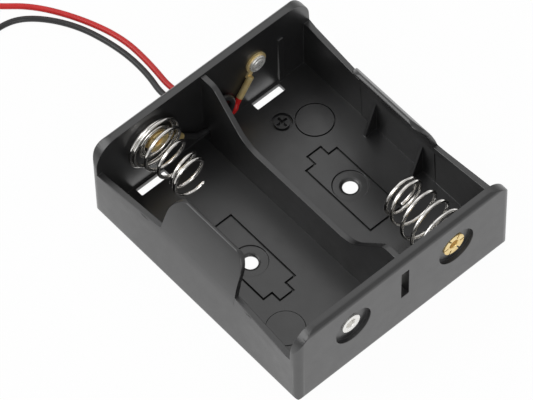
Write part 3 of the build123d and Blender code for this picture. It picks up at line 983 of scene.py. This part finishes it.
@dataclass
class Tray:
    """The moulded tray, with softened edges and the shallow marks of its floor.

    The foot values bound the places where the tongues grow out of the walls, whose edges stay
    sharp.
    """

    marks: FloorMarks = FloorMarks()
    edge: float = 0.16 * MM
    edge_segments: int = 2
    sharp_from: float = math.radians(28)
    flat_within: float = math.radians(0.6)
    crease: float = math.radians(40)
    same_point: float = 0.001 * MM
    foot_x: float = 23.0 * MM
    foot_y: float = 11.2 * MM
    foot_reach: float = 1.8 * MM
    foot_low: float = 12.5 * MM
    foot_high: float = 17.5 * MM

    def finished(
        self, mesh: bpy.types.Mesh, add_modifiers: Callable[[bpy.types.Object], None]
    ) -> bpy.types.Mesh:
        """Give the mesh that modifiers make of another one.

        Args:
            mesh: The mesh to start from.
            add_modifiers: A function that adds the modifiers to an object.

        Returns:
            The resulting mesh.
        """
        piece = link("in_work", mesh)
        add_modifiers(piece)
        evaluated = piece.evaluated_get(bpy.context.evaluated_depsgraph_get())
        result = bpy.data.meshes.new_from_object(evaluated)
        bpy.data.objects.remove(piece)
        return result

    def round_edges(self, piece: bpy.types.Object) -> None:
        """Add the modifier that rounds sharp edges.

        Args:
            piece: The object that gets it.
        """
        rounding = piece.modifiers.new("edges", "BEVEL")
        rounding.width = self.edge
        rounding.segments = self.edge_segments
        rounding.limit_method = "WEIGHT"
        rounding.miter_outer = "MITER_ARC"
        rounding.use_clamp_overlap = False

    def weigh_edges(self, work: bmesh.types.BMesh) -> None:
        """Mark the sharp edges that get rounded, all but those at the tongues' feet.

        Args:
            work: The tray's mesh.
        """
        weight = work.edges.layers.float.new("bevel_weight_edge")
        for edge in work.edges:
            x, y, z = (edge.verts[0].co + edge.verts[1].co) / 2
            foot = abs(x) > self.foot_x and abs(abs(y) - self.foot_y) < self.foot_reach
            foot = foot and self.foot_low < z < self.foot_high
            sharp = edge.is_manifold and edge.calc_face_angle(0.0) > self.sharp_from
            edge[weight] = float(sharp and not foot)

    def rounded(self) -> bpy.types.Mesh:
        """Copy the frame's tray, merge it and round its sharp edges.

        Returns:
            The rounded mesh.
        """
        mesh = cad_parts["holder_body"].data.copy()
        with editing(mesh) as work:
            bmesh.ops.remove_doubles(work, verts=work.verts, dist=self.same_point)
            bmesh.ops.dissolve_limit(
                work, angle_limit=self.flat_within, verts=work.verts, edges=work.edges
            )
            self.weigh_edges(work)
        return self.finished(mesh, self.round_edges)

    def grooved(self, mesh: bpy.types.Mesh) -> bpy.types.Mesh:
        """Cut the floor's marks.

        Args:
            mesh: The tray.

        Returns:
            The tray with its grooves.
        """
        tools = [link("tool", cutter) for cutter in self.marks.cutters()]

        def cut(piece: bpy.types.Object) -> None:
            """Add one cut for each tool."""
            for tool in tools:
                groove = piece.modifiers.new("groove", "BOOLEAN")
                groove.operation, groove.solver, groove.object = "DIFFERENCE", "EXACT", tool

        result = self.finished(mesh, cut)
        for tool in tools:
            bpy.data.objects.remove(tool)
        return result

    def build(self) -> bpy.types.Object:
        """Build the dressed tray.

        Returns:
            The tray.
        """
        mesh = self.grooved(self.rounded())
        mesh.name = "tray_moulding"
        soften(mesh, self.crease)
        piece = place("tray_moulding", mesh, Finish.PLASTIC)
        normals = piece.modifiers.new("flat_faces", "WEIGHTED_NORMAL")
        normals.keep_sharp = True
        settle(piece, Finish.PLASTIC, "tray", "holder_body")
        return piece


# The contacts


@dataclass
class ContactSpring:
    """A wound contact spring: flat spiral at the eyelet, a cone, open coils and a closed end.

    spiral, radii, heights and middle are in millimetres. spiral holds the radii of the wire's
    middle at every half turn of the flat spiral, from the eyelet on, and radii and heights are
    those at every half turn after it. middle is where the coils stand beside the eyelet, and lean
    how they bend away. flat_share is the share of the wire's section that its domed ends leave
    flat.
    """

    name: str
    place: WallPlace
    joint: str
    start: float
    heights: tuple[float, ...]
    radii: tuple[float, ...]
    middle: tuple[float, float]
    lean: tuple[float, float]
    spiral: tuple[float, ...] = (3.0, 3.2, 3.5, 3.8, 4.4)
    last_turn: float = 5.55
    steps_per_turn: int = 90
    sides: int = 16
    flat_share: float = 0.02
    crease: float = math.radians(60)
    travel: float = 8.0 * MM
    free_length: float = 13.8 * MM

    def middle_line(self) -> np.ndarray:
        """Work out the wire's middle line.

        Radius and height follow their half turns as smooth curves, and the coils' centre moves
        sideways, first over the flat spiral and then with the height.

        Returns:
            Points in local axes, from the eyelet to the cell.
        """
        flat_turns = len(self.spiral) / 2
        count = int((flat_turns + self.last_turn) * self.steps_per_turn)
        turn = np.linspace(-flat_turns, self.last_turn, count)
        rising = np.arange(len(self.heights)) / 2
        height = smooth_steps(rising, np.array(self.heights) * MM, np.maximum(turn, 0))
        radii = np.array(self.spiral + self.radii) * MM
        radius = smooth_steps(np.arange(len(radii)) / 2 - flat_turns, radii, turn)
        share = np.clip(1 + turn / flat_turns, 0, 1)
        angle = self.start + 2 * math.pi * turn
        x = radius * np.cos(angle) + share * self.middle[0] * MM + self.lean[0] * height
        y = -radius * np.sin(angle) + share * self.middle[1] * MM + self.lean[1] * height
        return vectors(x, y, -WIRE_RADIUS - height)

    def build(self) -> bpy.types.Object:
        """Build the spring, with domed wire ends.

        Returns:
            The spring.
        """
        path = self.middle_line()
        walked = np.cumsum(np.linalg.norm(np.diff(path, axis=0, prepend=path[:1]), axis=1))
        inside = np.minimum(np.minimum(walked, walked[-1] - walked) / WIRE_RADIUS, 1)
        section = np.maximum(1 - (1 - inside) ** 2, self.flat_share)
        axis = np.array([0.0, 0.0, 1.0])
        points = tube_round(path, WIRE_RADIUS * np.sqrt(section), axis, self.sides)
        faces = capped_tube_faces(len(path), self.sides)
        mesh = mesh_from(f"{self.name}_coil", self.place.put(points), faces)
        soften(mesh, self.crease)
        piece = place(mesh.name, mesh, Finish.WIRE)
        settle(piece, Finish.WIRE, "tray", self.name)
        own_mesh(piece)
        return piece


@dataclass
class PressedRivet:
    """The pressed face of the red lug's rivet: a raised rim, a groove and a rounded nipple.

    It lies over the flat head of the frame's rivet, whose own nipple, frame_nipple high, stays
    behind it.
    """

    rim_radius: float = 1.76 * MM
    rim_half: float = 0.34 * MM
    rim_height: float = 0.30 * MM
    nipple_radius: float = 1.36 * MM
    nipple_height: float = 0.54 * MM
    back: float = 0.05 * MM
    frame_nipple: float = 0.45 * MM
    sides: int = 64
    steps: int = 14
    crease: float = math.radians(60)

    def profile(self) -> np.ndarray:
        """Work out the face's profile as radius and height over the head.

        The rim is half an ellipse, and the nipple a quarter of a curve whose radius and height go
        as the square roots of cosine and sine, which makes it a flat top with a round edge.

        Returns:
            Pairs of radius and height, from the rim's outside to the axis.
        """
        s = np.linspace(0, math.pi, self.steps)
        across = self.rim_radius + self.rim_half * np.cos(s)
        rim = np.stack([across, self.rim_height * np.sin(s)], axis=-1)
        s = np.linspace(0, math.pi / 2, self.steps)
        radius = self.nipple_radius * np.sqrt(np.maximum(np.cos(s), 0))
        nipple = np.stack([radius, self.nipple_height * np.sqrt(np.sin(s))], axis=-1)
        foot = np.array([[self.rim_radius + self.rim_half, -self.back]])
        return np.concatenate([foot, rim, nipple])

    def build(self) -> bpy.types.Object:
        """Turn the profile about the cell's axis and close its back.

        Returns:
            The rivet's face.
        """
        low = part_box("positive_rivet_right")[0]
        head = WallPlace(CELL_X, low[1] + self.frame_nipple, 1)
        angle = np.linspace(0, 2 * math.pi, self.sides, endpoint=False)[:, None]
        radius, height = self.profile().T
        local = vectors(radius * np.cos(angle), radius * np.sin(angle), -height + 0 * angle)
        count = len(radius)
        back = [i * count for i in range(self.sides)]
        faces = grid_faces(self.sides, count, True, False) + [back]
        mesh = mesh_from("rivet_face_right", head.put(local), faces)
        soften(mesh, self.crease)
        piece = place(mesh.name, mesh, Finish.NICKEL)
        settle(piece, Finish.NICKEL, "tray")
        return piece


def springs() -> list[ContactSpring]:
    """Give the two springs, which bend a little differently, as such springs do."""
    left = ContactSpring(
        "contact_spring_left",
        WallPlace(x=-CELL_X, y=29.0 * MM, outward=1),
        "left_spring_press",
        start=math.radians(112),
        heights=(0.0, 0.1, 0.5, 1.1, 2.9, 3.7, 6.0, 6.9, 9.9, 10.2, 11.3, 12.4, 13.0),
        radii=(6.3, 6.3, 6.1, 5.6, 5.2, 4.5, 4.1, 4.2, 3.9, 3.9, 4.3, 4.5, 4.5),
        middle=(-0.6, 0.15),
        lean=(-0.011, 0.005),
    )
    right = ContactSpring(
        "contact_spring_right",
        WallPlace(x=CELL_X, y=-29.1 * MM, outward=-1),
        "right_spring_press",
        start=math.radians(68),
        heights=(0.0, 0.3, 1.3, 2.2, 4.4, 6.0, 7.8, 9.4, 11.8, 12.9, 13.5, 13.9, 14.2),
        radii=(6.2, 6.2, 6.1, 6.0, 5.7, 5.5, 5.4, 5.0, 4.8, 4.5, 4.4, 4.4, 4.4),
        middle=(0.45, 0.15),
        lean=(-0.033, -0.014),
    )
    return [left, right]


def dress_frame_pieces() -> None:
    """Give the small metal parts and the inside leads, which keep their meshes, their finishes."""
    finishes = {
        "spring_eyelet_left": Finish.BRASS,
        "spring_eyelet_right": Finish.BRASS,
        "positive_rivet_left": Finish.NICKEL,
        "positive_rivet_right": Finish.NICKEL,
        "ring_lug_red": Finish.BRASS,
        "ring_lug_black": Finish.BRASS,
        "link_strip": Finish.NICKEL,
        "lead_red_inside": Finish.RED,
        "lead_black_inside": Finish.BLACK,
        "lead_red_tip": Finish.TIN,
        "lead_black_tip": Finish.TIN,
    }
    for name, finish in finishes.items():
        coat(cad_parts[name].data, finish)
        LOG.info("%s keeps its frame mesh", name)


def main() -> None:
    """Build the scene and report each piece."""
    logging.basicConfig(level=logging.INFO, format="%(name)s: %(message)s")
    Studio().build()
    routes = lead_routes()
    Lead("red", Finish.RED, routes["red"]).build()
    Lead("black", Finish.BLACK, routes["black"]).build()
    Tray().build()
    for spring in springs():
        spring.build()
    PressedRivet().build()
    dress_frame_pieces()


if __name__ == "__main__":
    main()
